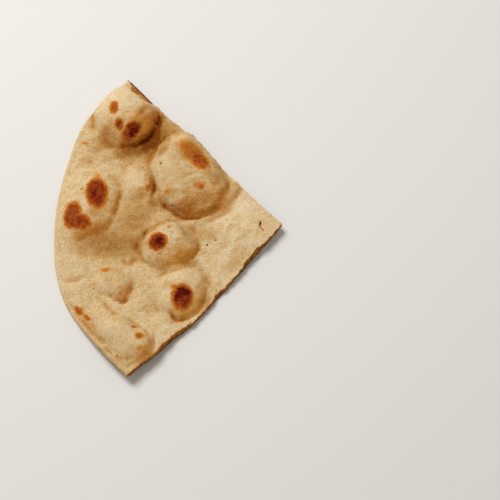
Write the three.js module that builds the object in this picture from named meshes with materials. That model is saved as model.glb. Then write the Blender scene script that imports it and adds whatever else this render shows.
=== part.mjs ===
// A quarter of a tandoori roti, the flat wholemeal bread of a clay oven, as one solid.
// It lies on its underside with the blistered face up. The tip, which was the middle of the whole
// round, points to +X, and the baked rim faces -X. Millimetres, +Z up, with the origin under the
// middle of the quarter, on the table.
import * as THREE from "three";

const degrees = THREE.MathUtils.degToRad;

// Driving dimensions
const ROUND_RADIUS = 112.6; // the whole round, from its middle to the rim
const RIM_SWING = 0.016; // the rim runs this share further out at the first cut, and nearer in at the second
const FIRST_CUT = degrees(133.3); // bearing of the first cut from the tip
const SECOND_CUT = degrees(230.4); // bearing of the second cut as it leaves the tip
const CORNER_SWING = degrees(4.2); // how far the second cut swings in before it reaches the rim
const SWING_FROM = 0.55; // share of the radius at which that swing begins
const SHEET = 3.0; // thickness of the bread between blisters
const SKIN = 1.05; // each of the two skins that part where a cut opens the bread
const RIM_ROUND = 1.3; // how far the rounded rim stands out past the two faces
const CELLS = 46; // grid cells along each cut
const RIM_ROWS = [0.25, 0.5, 0.75]; // shares of the way down the rim at which its rows lie
const ON_RIM = 1 - 1e-6; // shares of the radius past this one count as the rim itself

// Blisters, as [x, y] of the middle from the tip, half length and half width, the turn of the long
// half, and the height over the sheet
const BLISTERS = {
  corner: { at: [-77.5, 62.5], half: [19.5, 17], turn: 138, height: 8.5 },
  dome: { at: [-46.5, 30], half: [26, 18], turn: 115, height: 11 },
  beside_dome: { at: [-71, 26.5], half: [11.5, 7], turn: 80, height: 3.8 },
  eye: { at: [-57, -9.5], half: [13.6, 13], turn: 20, height: 7 },
  lower: { at: [-48.5, -36.5], half: [14.5, 12], turn: 65, height: 6 },
  rim_side: { at: [-96, 12.5], half: [19, 14], turn: 72, height: 4.8 },
  drop: { at: [-82.5, -27.5], half: [11.5, 9], turn: 130, height: 3.4 },
  second_corner: { at: [-73.5, -60], half: [15, 10.5], turn: 35, height: 3.8 },
  low_swell: { at: [-66, -34], half: [11, 7], turn: 75, height: 1.3 },
  tip_swell: { at: [-25, -4], half: [17, 12], turn: 10, height: 1.0 },
};
const CROWN = 0.8; // exponent of a blister's section: below 1 the flanks are steeper than a parabola's
const WOBBLE = 0.06; // how far a blister's outline strays from an ellipse
const LOBES = 3; // waves of that wobble in one turn
const CREASE_BLEND = 0.6; // how softly two blisters run into each other
const SOFT_REACH = 1.4; // reach of the softening at the foot of a blister

// Places where the sheet has curled up off the table, as [x, y] from the tip, how wide, and how high
const CURLS = [
  { at: [-80, 86], width: 52, rise: 3.2 },
  { at: [-77, -84], width: 46, rise: 3.6 },
  { at: [4, 0], width: 46, rise: 2.6 },
  { at: [-118, 2], width: 38, rise: 1.8 },
];

// The rim's bead and the shallow groove inside it, by the second cut's end of the rim
const BEAD_HEIGHT = 0.7;
const BEAD_WIDTH = 5;
const GROOVE_DEPTH = 0.9;
const GROOVE_INSET = 7; // from the rim to the middle of the groove
const GROOVE_WIDTH = 3;
const GROOVE_FROM = 0.62; // share of the way from the first cut to the second at which the groove begins
const GROOVE_FADE = 0.1; // share of that way over which it reaches its full depth

// What the cuts open: a slit between the skins that widens into a pocket in each cut blister
const SLIT_DEPTH = 0.8;
const SLIT_WAVES = 5; // stretches along a cut where the slit opens further
const SLIT_GAIN = 0.9;
const POCKET_DEPTH = 9; // deepest reach of a pocket
const POCKET_PER_LIFT = 1.5; // depth for each millimetre that a blister lifts the cut
const FADE = 0.08; // share of a cut over which slit and pocket fade out at either end
const PEEL = 2.4; // how far the upper skin has drawn back from the corner blister's mouth
const PEEL_MIDDLE = 0.86; // share of the first cut at the middle of that mouth
const PEEL_HALF = 0.13; // half the mouth, as a share of the cut
const PEEL_REACH = 14; // how far in from the cut the skin gives way to it

// A smooth hill: 1 at the middle, 0 from the edge outwards
const hill = (share) => (share < 1 ? (1 - share * share) ** 2 : 0);

// Where a point of the unit square lies in plan, seen from the tip. The square's two sides at 0 are
// the cuts, and the two at 1 together make the rim.
function planPoint(u, v) {
  const along = u * Math.sqrt(1 - (v * v) / 2);
  const across = v * Math.sqrt(1 - (u * u) / 2);
  const reach = Math.hypot(along, across);
  const sweep = Math.atan2(across, along) / (Math.PI / 2);
  const swing = CORNER_SWING * THREE.MathUtils.smoothstep(reach, SWING_FROM, 1);
  const bearing = FIRST_CUT + (SECOND_CUT - swing - FIRST_CUT) * sweep;
  const rim = ROUND_RADIUS * (1 + RIM_SWING * (0.5 - sweep)) - RIM_ROUND;
  return {
    x: reach * rim * Math.cos(bearing),
    y: reach * rim * Math.sin(bearing),
    reach,
    sweep,
    fromRim: (1 - reach) * rim,
    bearing,
  };
}

// How far one blister lifts the upper skin at a place in plan
function blisterLift({ at, half, turn, height }, x, y) {
  const angle = degrees(turn);
  const [dx, dy] = [x - at[0], y - at[1]];
  const along = (dx * Math.cos(angle) + dy * Math.sin(angle)) / half[0];
  const across = (dy * Math.cos(angle) - dx * Math.sin(angle)) / half[1];
  const stray = 1 + WOBBLE * Math.sin(LOBES * Math.atan2(across, along) + turn);
  const share = Math.hypot(along, across) / stray;
  return share < 1 ? height * (1 - share * share) ** CROWN : 0;
}

// All blisters together: the highest one rules, and neighbours meet in a soft crease
function lift(x, y) {
  let highest = 0;
  for (const blister of Object.values(BLISTERS)) {
    const next = blisterLift(blister, x, y);
    const overlap = Math.max(0, CREASE_BLEND - Math.abs(highest - next)) / CREASE_BLEND;
    const soften = highest > 0 && next > 0 ? (overlap * overlap * CREASE_BLEND) / 4 : 0;
    highest = Math.max(highest, next) + soften;
  }
  return highest;
}

// The same with its feet softened: the mean of the lift at a place and on four sides of it
function softLift(x, y) {
  const sides = [[0, 0], [SOFT_REACH, 0], [-SOFT_REACH, 0], [0, SOFT_REACH], [0, -SOFT_REACH]];
  const total = sides.reduce((sum, [dx, dy]) => sum + lift(x + dx, y + dy), 0);
  return total / sides.length;
}

// Height of the underside over the table: flat in the middle, curled up in places at the edge
function underside(x, y) {
  let rise = 0;
  for (const { at, width, rise: peak } of CURLS) {
    rise += peak * hill(Math.hypot(x - at[0], y - at[1]) / width);
  }
  return rise;
}

// Relief along the rim: a bead all round, and a groove inside it near the second cut
function rimRelief({ fromRim, sweep }) {
  const bead = BEAD_HEIGHT * hill(Math.abs(fromRim - BEAD_WIDTH / 2) / BEAD_WIDTH);
  const length = THREE.MathUtils.smoothstep(sweep, GROOVE_FROM, GROOVE_FROM + GROOVE_FADE);
  const groove = GROOVE_DEPTH * hill(Math.abs(fromRim - GROOVE_INSET) / GROOVE_WIDTH);
  return bead - groove * length;
}

// How far the upper skin has drawn back at a share of the way along the first cut
const peelAt = (reach) => PEEL * hill(Math.abs(reach - PEEL_MIDDLE) / PEEL_HALF);

// A point of the upper face
function upperPoint(u, v) {
  const plan = planPoint(u, v);
  const fromCut = plan.reach * ROUND_RADIUS * Math.sin(plan.bearing - FIRST_CUT);
  const drawn = peelAt(plan.reach) * hill(Math.min(1, fromCut / PEEL_REACH));
  const x = plan.x - drawn * Math.sin(FIRST_CUT);
  const y = plan.y + drawn * Math.cos(FIRST_CUT);
  const z = underside(plan.x, plan.y) + SHEET + softLift(x, y) + rimRelief(plan);
  return new THREE.Vector3(x, y, z);
}

// A point of the lower face
function lowerPoint(u, v) {
  const { x, y } = planPoint(u, v);
  return new THREE.Vector3(x, y, underside(x, y));
}

// The edge of the unit square, anticlockwise seen from above, starting and ending at the tip
function edgeWalk() {
  const walk = [];
  for (let i = 0; i < CELLS; i++) walk.push([i, 0]);
  for (let j = 0; j < CELLS; j++) walk.push([CELLS, j]);
  for (let i = CELLS; i > 0; i--) walk.push([i, CELLS]);
  for (let j = CELLS; j > 0; j--) walk.push([0, j]);
  return walk;
}

// How deep the slit or pocket goes in at a place on a cut
function openingDepth(reach, gap) {
  const ends = Math.min(reach, 1 - reach) / FADE;
  const fade = THREE.MathUtils.smoothstep(ends, 0, 1);
  const slit = SLIT_DEPTH + SLIT_GAIN * Math.sin(SLIT_WAVES * 2 * Math.PI * reach) ** 2;
  const pocket = POCKET_PER_LIFT * Math.max(0, gap - (SHEET - 2 * SKIN));
  return fade * Math.min(POCKET_DEPTH, slit + pocket);
}

// The three points of the edge between the two faces. On the rim they bulge out, and on a cut they
// are the upper skin's lip, the floor of the opening and the lower skin's lip.
function edgePoints([i, j], upper, lower) {
  const plan = planPoint(i / CELLS, j / CELLS);
  if (plan.reach > ON_RIM) {
    const out = new THREE.Vector3(Math.cos(plan.bearing), Math.sin(plan.bearing), 0);
    return RIM_ROWS.map((down) =>
      new THREE.Vector3()
        .lerpVectors(upper, lower, down)
        .addScaledVector(out, RIM_ROUND * Math.sin(Math.PI * down)),
    );
  }
  const upperLip = upper.clone();
  const lowerLip = lower.clone();
  upperLip.z -= SKIN;
  lowerLip.z += SKIN;
  const turn = j === 0 ? Math.PI / 2 : -Math.PI / 2;
  const inwards = new THREE.Vector3(Math.cos(plan.bearing + turn), Math.sin(plan.bearing + turn), 0);
  const depth = openingDepth(plan.reach, upperLip.z - lowerLip.z);
  const floor = new THREE.Vector3().lerpVectors(upperLip, lowerLip, 0.5).addScaledVector(inwards, depth);
  return [upperLip, floor, lowerLip];
}

// The closed surface: upper face, lower face and the edge between them
function quarterGeometry() {
  const row = CELLS + 1;
  const corner = (i, j) => i * row + j;
  const upper = [];
  const lower = [];
  for (let i = 0; i < row; i++) {
    for (let j = 0; j < row; j++) {
      upper.push(upperPoint(i / CELLS, j / CELLS));
      lower.push(lowerPoint(i / CELLS, j / CELLS));
    }
  }
  const points = [...upper, ...lower];
  const under = (index) => index + upper.length;
  const faces = [];
  for (let i = 0; i < CELLS; i++) {
    for (let j = 0; j < CELLS; j++) {
      const [a, b] = [corner(i, j), corner(i + 1, j)];
      const [c, d] = [corner(i + 1, j + 1), corner(i, j + 1)];
      faces.push(a, b, c, a, c, d);
      faces.push(under(a), under(c), under(b), under(a), under(d), under(c));
    }
  }
  const walk = edgeWalk();
  const columns = walk.map(([i, j]) => {
    const top = corner(i, j);
    const first = points.length;
    points.push(...edgePoints([i, j], points[top], points[under(top)]));
    return [top, first, first + 1, first + 2, under(top)];
  });
  columns.forEach((here, n) => {
    const next = columns[(n + 1) % columns.length];
    for (let k = 0; k + 1 < here.length; k++) {
      faces.push(here[k], here[k + 1], next[k + 1], here[k], next[k + 1], next[k]);
    }
  });
  const geometry = new THREE.BufferGeometry().setFromPoints(points);
  geometry.setIndex(faces);
  geometry.computeBoundingBox();
  const middle = geometry.boundingBox.getCenter(new THREE.Vector3());
  geometry.translate(-middle.x, -middle.y, -geometry.boundingBox.min.z);
  geometry.computeVertexNormals();
  return geometry;
}

const bakedDough = new THREE.MeshStandardMaterial({
  color: new THREE.Color(0xd5b586),
  roughness: 0.78,
  metalness: 0,
});

const roti = new THREE.Group();
const quarter = new THREE.Mesh(quarterGeometry(), bakedDough);
quarter.name = "roti_quarter";
roti.add(quarter);

export default roti;
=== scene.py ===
"""Looks of a tandoori roti quarter: the blistered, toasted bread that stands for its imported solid."""

import math

import bmesh
import bpy
import numpy as np
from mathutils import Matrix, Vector, noise
from mathutils.kdtree import KDTree


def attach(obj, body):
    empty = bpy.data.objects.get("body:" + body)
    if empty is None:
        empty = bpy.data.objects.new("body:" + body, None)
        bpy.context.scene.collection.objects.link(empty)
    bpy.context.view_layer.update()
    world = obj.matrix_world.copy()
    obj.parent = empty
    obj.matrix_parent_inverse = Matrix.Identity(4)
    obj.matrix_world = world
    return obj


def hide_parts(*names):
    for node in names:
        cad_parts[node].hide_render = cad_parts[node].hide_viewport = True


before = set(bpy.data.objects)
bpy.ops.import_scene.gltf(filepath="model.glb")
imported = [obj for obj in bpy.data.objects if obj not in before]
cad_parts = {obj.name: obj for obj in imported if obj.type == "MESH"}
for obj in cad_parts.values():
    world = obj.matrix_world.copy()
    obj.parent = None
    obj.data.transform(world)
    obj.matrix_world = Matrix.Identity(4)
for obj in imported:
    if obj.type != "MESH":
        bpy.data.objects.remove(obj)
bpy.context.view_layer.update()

MM = 0.001
NODE = "roti_quarter"

# The sheet. Places on it are in millimetres from the tip, which was the middle of the whole round, and
# bearings from the tip are in degrees.
ROUND_RADIUS = 112.6
SHEET = 3.0
SKIN = 1.05
RIM_BEVEL = 1.4
FIRST_CUT = 133.3
SECOND_CUT = 230.4
CORNER_SWING = 4.2
SWUNG_CUT = SECOND_CUT - CORNER_SWING
CORNER_REACH = 50
CORNER_SIZE = 4

# What counts as one point, as the same level, as the upper skin's share of the sheet, and as facing down
WELD = 0.001
HAIR = 0.01
UPPER_FROM = 0.6
FLAT_DOWN = -0.9
FACING_DOWN = -0.3

# Where the outline strays from its circle and its cuts: bearing and distance from the tip, which way, how
# far and reach
STRAYS = {
    "first_corner": dict(at=(FIRST_CUT, ROUND_RADIUS), towards=FIRST_CUT, by=1.8, reach=80),
    "corner_side": dict(at=(140, ROUND_RADIUS), towards=140, by=-2.6, reach=15),
    "first_side": dict(at=(148, ROUND_RADIUS), towards=148, by=2.2, reach=38),
    "left": dict(at=(197, ROUND_RADIUS), towards=197, by=1.2, reach=28),
    "second_corner": dict(at=(SWUNG_CUT, ROUND_RADIUS), towards=SWUNG_CUT, by=-3.2, reach=52),
    "second_cut": dict(at=(227, 100), towards=316, by=2.4, reach=21),
}

# How finely the sheet is divided: rings from tip to rim, spokes from cut to cut, and cuts in each of those
RINGS = 52
SPOKES = 75
FINE_CUTS = 3
RIM_SEGMENTS = 3
EDGE_ROWS = 7

# The share of the flat underside's faces that stay
UNDERSIDE_SHARE = 0.15

# Blisters with a crisp foot: middle, half length and half width, turn of the long half, height, how far the
# crown leans, and how much of it has the steep sides of a ball rather than those of a bowl
BLISTERS = {
    "corner": dict(at=(-79, 61), half=(17, 15.8), turn=138, height=7.6, lean=(0.4, -0.6), steep=0.5),
    "dome": dict(at=(-46.3, 27.7), half=(23, 17.4), turn=110, height=10.2, lean=(0.2, -0.4), steep=0.62),
    "dome_skirt": dict(at=(-27, 18.6), half=(11, 5.2), turn=56, height=1.7, steep=0.5),
    "dome_hem": dict(at=(-33, 8.8), half=(9, 4.2), turn=26, height=1.3, steep=0.5),
    "eye": dict(at=(-55.5, -10.6), half=(13.8, 13.2), turn=20, height=6.8, lean=(-2.4, 0.4), steep=0.3),
    "lower": dict(at=(-49, -36), half=(14.2, 11), turn=82, height=4.9, steep=0.35),
    "rim_side": dict(at=(-96.5, 13), half=(19.5, 14.5), turn=75, height=3.0, lean=(0.4, 0), steep=0.4),
    "drop": dict(at=(-83, -29.6), half=(9.2, 7.6), turn=-30, height=1.7, lean=(0.3, -0.5), steep=0.2),
    "drop_point": dict(at=(-80, -34.8), half=(6.8, 4.4), turn=-62, height=1.6, lean=(0.7, -0.4), steep=0.4),
    "roll": dict(at=(-75.5, -60.5), half=(15, 8.6), turn=-40, height=2.9, lean=(0.4, 0.2), steep=0.35),
}

# Where blisters have a creased foot: the bearings from their middle that it lies between, its depth, and
# how many times the rest of the foot is smoothed
FEET = {
    "corner": dict(bearings=(-110, 25), depth=0.9, ease=50),
    "dome": dict(bearings=(215, 300), depth=1.2, ease=14),
    "dome_skirt": dict(bearings=(-40, 30), depth=0.5, ease=8),
    "dome_hem": dict(bearings=(-110, -30), depth=0.4, ease=8),
    "eye": dict(bearings=(-130, 20), depth=0.6, ease=4),
    "lower": dict(bearings=(-125, 10), depth=0.4, ease=10),
    "rim_side": dict(bearings=(-70, 75), depth=0.2, ease=12),
    "drop": dict(bearings=(-30, 20), depth=0.2, ease=6),
    "drop_point": dict(bearings=(-120, 0), depth=0.4, ease=8),
    "roll": dict(bearings=(-60, 80), depth=0.6, ease=14),
}
FOOT_REACH = 1.7
FOOT_STEP = 10
EASE_REACH = 2.6
SMOOTHING = 0.5

# How far from the line of a blister's crown the skin is raised in full
CROWN_WIDTH = 0.6

# Soft swells and hollows, which ease off all round
SWELLS = {
    "corner": dict(at=(-80, 66), half=(24, 20), turn=138, height=2.2),
    "beside_dome": dict(at=(-72.5, 25.5), half=(12, 8.5), turn=85, height=2.6, lean=(1.4, -0.2)),
    "drop": dict(at=(-82.5, -29), half=(13, 10.5), turn=120, height=0.8, lean=(0.4, -0.4)),
    "second_corner": dict(at=(-76, -58), half=(21, 11), turn=-38, height=1.0),
    "corner_slope": dict(at=(-91, 52), half=(12, 8), turn=55, height=1.6),
    "tip": dict(at=(-24, -4), half=(20, 14), turn=10, height=1.0),
    "low": dict(at=(-66, -37), half=(13, 10), turn=75, height=1.4, lean=(0.4, -0.4)),
    "dome_cap": dict(at=(-51, 47), half=(16, 14), turn=133, height=5.5),
    "left_hollow": dict(at=(-85, -11), half=(24, 16), turn=10, height=-1.4),
    "corner_hollow": dict(at=(-66, 46), half=(13, 9), turn=140, height=-1.0),
    "eye_hollow": dict(at=(-67, 4), half=(14, 8), turn=35, height=-0.9),
}

# Creases pressed into the skin and ridges raised from it: the path, how deep or high, and the reach
CREASES = {
    "beside_dome": dict(path=[(-65.4, 29), (-65.2, 25), (-64.6, 20.5), (-62.8, 15.5)], depth=1.2, reach=2),
    "eye_fold": dict(path=[(-71.6, -6), (-72, -10.5), (-71, -13.6)], depth=0.5, reach=1.4),
    "eye_pucker": dict(
        path=[(-71.8, -16.5), (-73.6, -20), (-76.2, -19.6), (-76.8, -15.8)],
        depth=1, reach=1.7,
    ),
    "drop_foot": dict(
        path=[
            (-90.4, -33), (-88, -36), (-83.6, -38.8), (-79, -41.8),
            (-76.2, -39.6), (-74.6, -35.4), (-73.8, -31),
        ],
        depth=0.9, reach=1.7,
    ),
    "lower_fold": dict(path=[(-56.6, -45.2), (-53, -49.8), (-52, -54.5)], depth=0.9, reach=1.6),
    "valley": dict(path=[(-40.3, -22.5), (-36.4, -26), (-35.2, -31.9), (-36, -38.8)], depth=0.5, reach=2.6),
    "rim_groove": dict(
        path=[
            (-107, -34), (-103, -42), (-99.5, -48), (-95, -53.5),
            (-90, -59.5), (-85, -65.3), (-80.5, -71),
        ],
        depth=1.3, reach=2.2,
    ),
    "corner_pleat": dict(path=[(-97.5, 55.4), (-94.5, 54), (-91, 52.4)], depth=0.8, reach=1.5),
    "inner_pleat": dict(path=[(-91.5, 50.8), (-88, 48), (-85, 44)], depth=0.7, reach=1.6),
    "rim_pleat": dict(path=[(-101, 42), (-95, 41.4), (-89, 41.6)], depth=0.5, reach=1.8),
    "drop_ring": dict(
        path=[(-91.8, -31), (-91.4, -25.6), (-86.9, -22), (-82, -23.8), (-80.2, -28.6)],
        depth=0.25, reach=1.3,
    ),
    "left_fold": dict(path=[(-110, -30), (-104, -30), (-93, -27.6)], depth=0.9, reach=2.2),
    "rim_roll": dict(path=[(-100, -37), (-90, -47), (-80, -56), (-70, -64)], depth=-0.9, reach=7),
    "cross_fold": dict(path=[(-38, -27.5), (-34, -32), (-30.5, -36.5)], depth=0.5, reach=2.6),
    "lower_pleat": dict(path=[(-54.5, -47.5), (-50.5, -51.3), (-44.5, -50.5)], depth=0.8, reach=1.6),
    "roll_edge": dict(
        path=[(-93.5, -36.5), (-88, -41), (-80.6, -47.8), (-72, -53)],
        depth=1.0, reach=1.8,
    ),
    "rim_side_line": dict(
        path=[(-88.1, 30.1), (-82.6, 23.6), (-80.6, 16.5), (-82.3, 7.9), (-84.6, 2.4), (-88.4, -5.5)],
        depth=0.7, reach=1.9,
    ),
    "eye_moat": dict(
        path=[(-63, 5), (-69, 0), (-72, -8), (-71.5, -15), (-67.5, -21.5)],
        depth=0.9, reach=5,
    ),
    "tip_fold": dict(path=[(-23.2, 0.5), (-26.3, -7.6), (-27.5, -17.2)], depth=0.6, reach=3.5),
    "tip_crack": dict(path=[(-10.9, 1.2), (-10.5, -1.2), (-8.8, -4.6)], depth=0.7, reach=0.9),
}

# Finer ones, which are pressed into the finished blisters
WRINKLES = {
    "dome_fold": dict(path=[(-25.8, 25.8), (-26.8, 20.1), (-28.6, 16), (-32, 12)], depth=0.4, reach=2),
    "dome_wrinkle": dict(
        path=[(-50.5, 22.5), (-47.5, 22.8), (-45.5, 23.6), (-41, 23.8)],
        depth=0.6, reach=1.4,
    ),
    "side_wrinkle": dict(path=[(-75, 29), (-72.6, 26.4), (-72.4, 22)], depth=0.5, reach=1.3),
    "side_pleat": dict(path=[(-69.5, 29.5), (-68.6, 26), (-69.4, 22.4)], depth=0.4, reach=1.2),
    "corner_wrinkle": dict(
        path=[(-73.5, 56.3), (-70.5, 59), (-68.5, 61.8), (-65.2, 64)],
        depth=0.6, reach=1.3,
    ),
    "crown_wrinkle": dict(path=[(-78, 66), (-74, 64.5), (-71.5, 66.5)], depth=0.5, reach=1.3),
}

# How creases are pressed: the step along their path, their width, and the share that each press leaves out
# at both ends
PATH_STEP = 0.4
CREASE_WIDTH = 0.45
CREASE_ENDS = (0.08, 0.2, 0.33)

# How many times the finished skin is smoothed
SOFTENINGS = 4

# Where the upper skin has drawn back from a cut: the cut, distances from the tip, how far and reach
DRAWN_BACK = {
    "corner_edge": dict(cut=FIRST_CUT, span=(105, 116), by=1.3, reach=5),
    "corner_mouth": dict(cut=FIRST_CUT, span=(99, 104), by=3.8, reach=9),
    "slit": dict(cut=SECOND_CUT, span=(18, 27), by=1.1, reach=4),
    "bite": dict(cut=SECOND_CUT, span=(46, 50), by=1.1, reach=3),
    "long_bite": dict(cut=SECOND_CUT, span=(72, 86), by=0.9, reach=5),
}

# How far the upper skin is torn back from each cut in small bites, their size and how far in they reach
TEARS = {FIRST_CUT: 1.5, SECOND_CUT: 1.1}
TEAR_SIZE = 1.8
TEAR_DETAIL = 3
TEAR_REACH = 5
TEAR_LEVEL = 0.25

# What the cuts open: a slit between the skins that comes and goes, and deepens into a pocket under a cut
# blister, and how it fades towards the tip and the rim
SLIT_DEPTH = 2.2
SLIT_WAVES = 7
SLIT_LEVEL = 0.6
SLIT_ROUNDING = 0.7
LEAST_GAP = 0.1
POCKET_DEPTH = 12
POCKET_PER_LIFT = 2.4
OPENING_FADE = 9

# How far the skin strays along each axis, the size of the waves, and how far in it strays in full
WARPS = {
    "X": dict(size=12, stray=3.2),
    "Y": dict(size=10, stray=3.2),
    "Z": dict(size=12, stray=1.8),
}
WARP_DETAIL = 1
WARP_MARGIN = 12

# How far the cuts stray from their lines, the share of it on each cut, the size of the waves and how far in
# they reach
FRAY = 1.2
FRAY_SHARES = {FIRST_CUT: 0.4, SECOND_CUT: 1.0}
FRAY_SIZES = (5.0, 4.2)
FRAY_DETAIL = 3
FRAY_REACH = 5

# Where the bread has curled off the table: the nearest place on the bread, reach and rise
CURLS = {
    "first_corner": dict(at=(-78.5, 83), reach=52, rise=3.2),
    "second_corner": dict(at=(-76, -79), reach=46, rise=3.6),
    "tip": dict(at=(0, 0), reach=46, rise=2.4),
    "rim": dict(at=(-112, 2), reach=38, rise=1.6),
}

# Unevenness: size of the waves, how far they stray, what they are on and which way they move it
UNEVENNESS = {
    "pucker": dict(size=5.0, stray=0.75, on="upper_skin", along="Z"),
    "wrinkle": dict(size=2.4, stray=0.2, on="upper_skin", along="NORMAL"),
    "grain": dict(size=1.3, stray=0.12, on="upper_skin", along="NORMAL"),
    "upper_torn": dict(size=3.6, stray=0.7, on="upper_cut", along="Z"),
    "lower_torn": dict(size=4.4, stray=0.5, on="lower_cut", along="Z"),
    "strands": dict(size=2.2, stray=1.4, on="wall", along="NORMAL"),
}
UNEVEN_DETAIL = 2

# Toasted places: middle, half length and half width, turn of the long half, how dark and how soft-edged
TOASTS = [
    # Corner blister
    ((-75.7, 50.4), (5.8, 3), 36, 0.68, 0.4),
    ((-75, 49.8), (4, 1.8), 36, 1, 0.7),
    ((-81.8, 52.8), (2.5, 2), 90, 0.62, 0.6),
    ((-84.7, 61.4), (3.5, 2.3), 95, 0.52, 0.6),
    # Dome and the swell beside it
    ((-45, 36), (7.9, 4.8), -38, 0.38, 0.58),
    ((-51.6, 39.6), (3.6, 2.4), -20, 0.22, 0.8),
    ((-40.9, 31.8), (5.8, 4.2), -46, 0.58, 0.6),
    ((-41, 18.2), (3.4, 2.4), 15, 0.33, 0.8),
    ((-40, 17.2), (1.7, 1.5), 0, 0.44, 0.8),
    ((-57.3, 16.6), (1.9, 1.5), 0, 0.36, 0.8),
    ((-48.6, 14.8), (1.8, 1.3), 0, 0.22, 0.9),
    ((-34.4, 20.2), (1.8, 1.2), 0, 0.24, 0.9),
    ((-66.8, 20.8), (2.4, 1.7), 80, 0.42, 0.8),
    # Eye
    ((-61.1, -11.1), (4.5, 4.4), 0, 0.78, 0.42),
    ((-60.5, -10.8), (3.2, 2.3), 12, 1.15, 0.7),
    ((-48.8, -6.6), (2.4, 1.6), 20, 0.24, 0.9),
    ((-55.7, -2.8), (1.3, 1.2), 0, 0.28, 0.9),
    ((-66.2, -10.8), (1.4, 1.4), 0, 0.26, 0.9),
    # Lower blister
    ((-48.6, -40.1), (6.5, 5), 88, 0.76, 0.45),
    ((-47.8, -37.6), (3.8, 2.4), -20, 1.12, 0.8),
    ((-52.2, -35.2), (2.2, 1.8), -30, 0.36, 0.8),
    ((-51, -40.2), (4.4, 1.6), 78, 1, 0.8),
    # Blister at the rim
    ((-92.2, 16.9), (8.3, 5.2), 94, 0.74, 0.4),
    ((-93.6, 16.8), (6, 2.6), 84, 0.9, 0.9),
    ((-103.4, 6), (5.4, 4), 96, 0.62, 0.5),
    ((-100.4, 0.9), (6.2, 4), -12, 0.66, 0.45),
    ((-104.2, 2.6), (3.8, 5.2), 0, 0.64, 0.45),
    ((-92.3, 26.5), (2.2, 2.8), 0, 0.26, 0.9),
    # Drop, rim and second corner
    ((-86.6, -24.2), (2.6, 1.7), 10, 0.36, 0.8),
    ((-98.6, -45.8), (3.1, 1.5), -46, 0.52, 0.7),
    ((-94.6, -49.4), (2.4, 1.4), -46, 0.46, 0.7),
    ((-91.6, -54.2), (2.6, 1), -60, 0.24, 0.9),
    ((-71.4, -55.2), (1.7, 1.1), 25, 0.4, 0.8),
    ((-68.3, -60.6), (2.3, 1.8), 0, 0.52, 0.7),
    ((-68.2, -67.2), (1.9, 1.3), 0, 0.32, 0.8),
    ((-99.2, 46.4), (2.2, 1.1), -20, 0.3, 0.9),
    ((-100.6, 37.4), (1.6, 0.9), 0, 0.24, 0.9),
    ((-99.8, 18.8), (1.2, 0.9), 60, 0.3, 0.8),
    # Burnt specks, and the crack by the tip
    ((-32.6, -8.1), (0.5, 0.35), 20, 1, 0.4),
    ((-37, -10.7), (0.6, 0.35), 40, 1, 0.4),
    ((-30.1, -10), (0.4, 0.3), 0, 0.6, 0.4),
    ((-27.2, 2.8), (0.3, 0.3), 0, 0.5, 0.4),
    ((-65.1, -50.7), (0.4, 0.3), 0, 0.7, 0.4),
    ((-91.8, -34.1), (0.4, 0.3), 0, 0.7, 0.4),
    ((-10.7, -0.2), (1.4, 0.5), 100, 0.9, 0.5),
    ((-9.6, -2.9), (1.3, 0.3), 118, 0.6, 0.5),
]

# Green flecks of herb, in the same way
HERBS = [((-60.5, 31.8), (0.8, 0.5), 60, 1, 0.4)]

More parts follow.
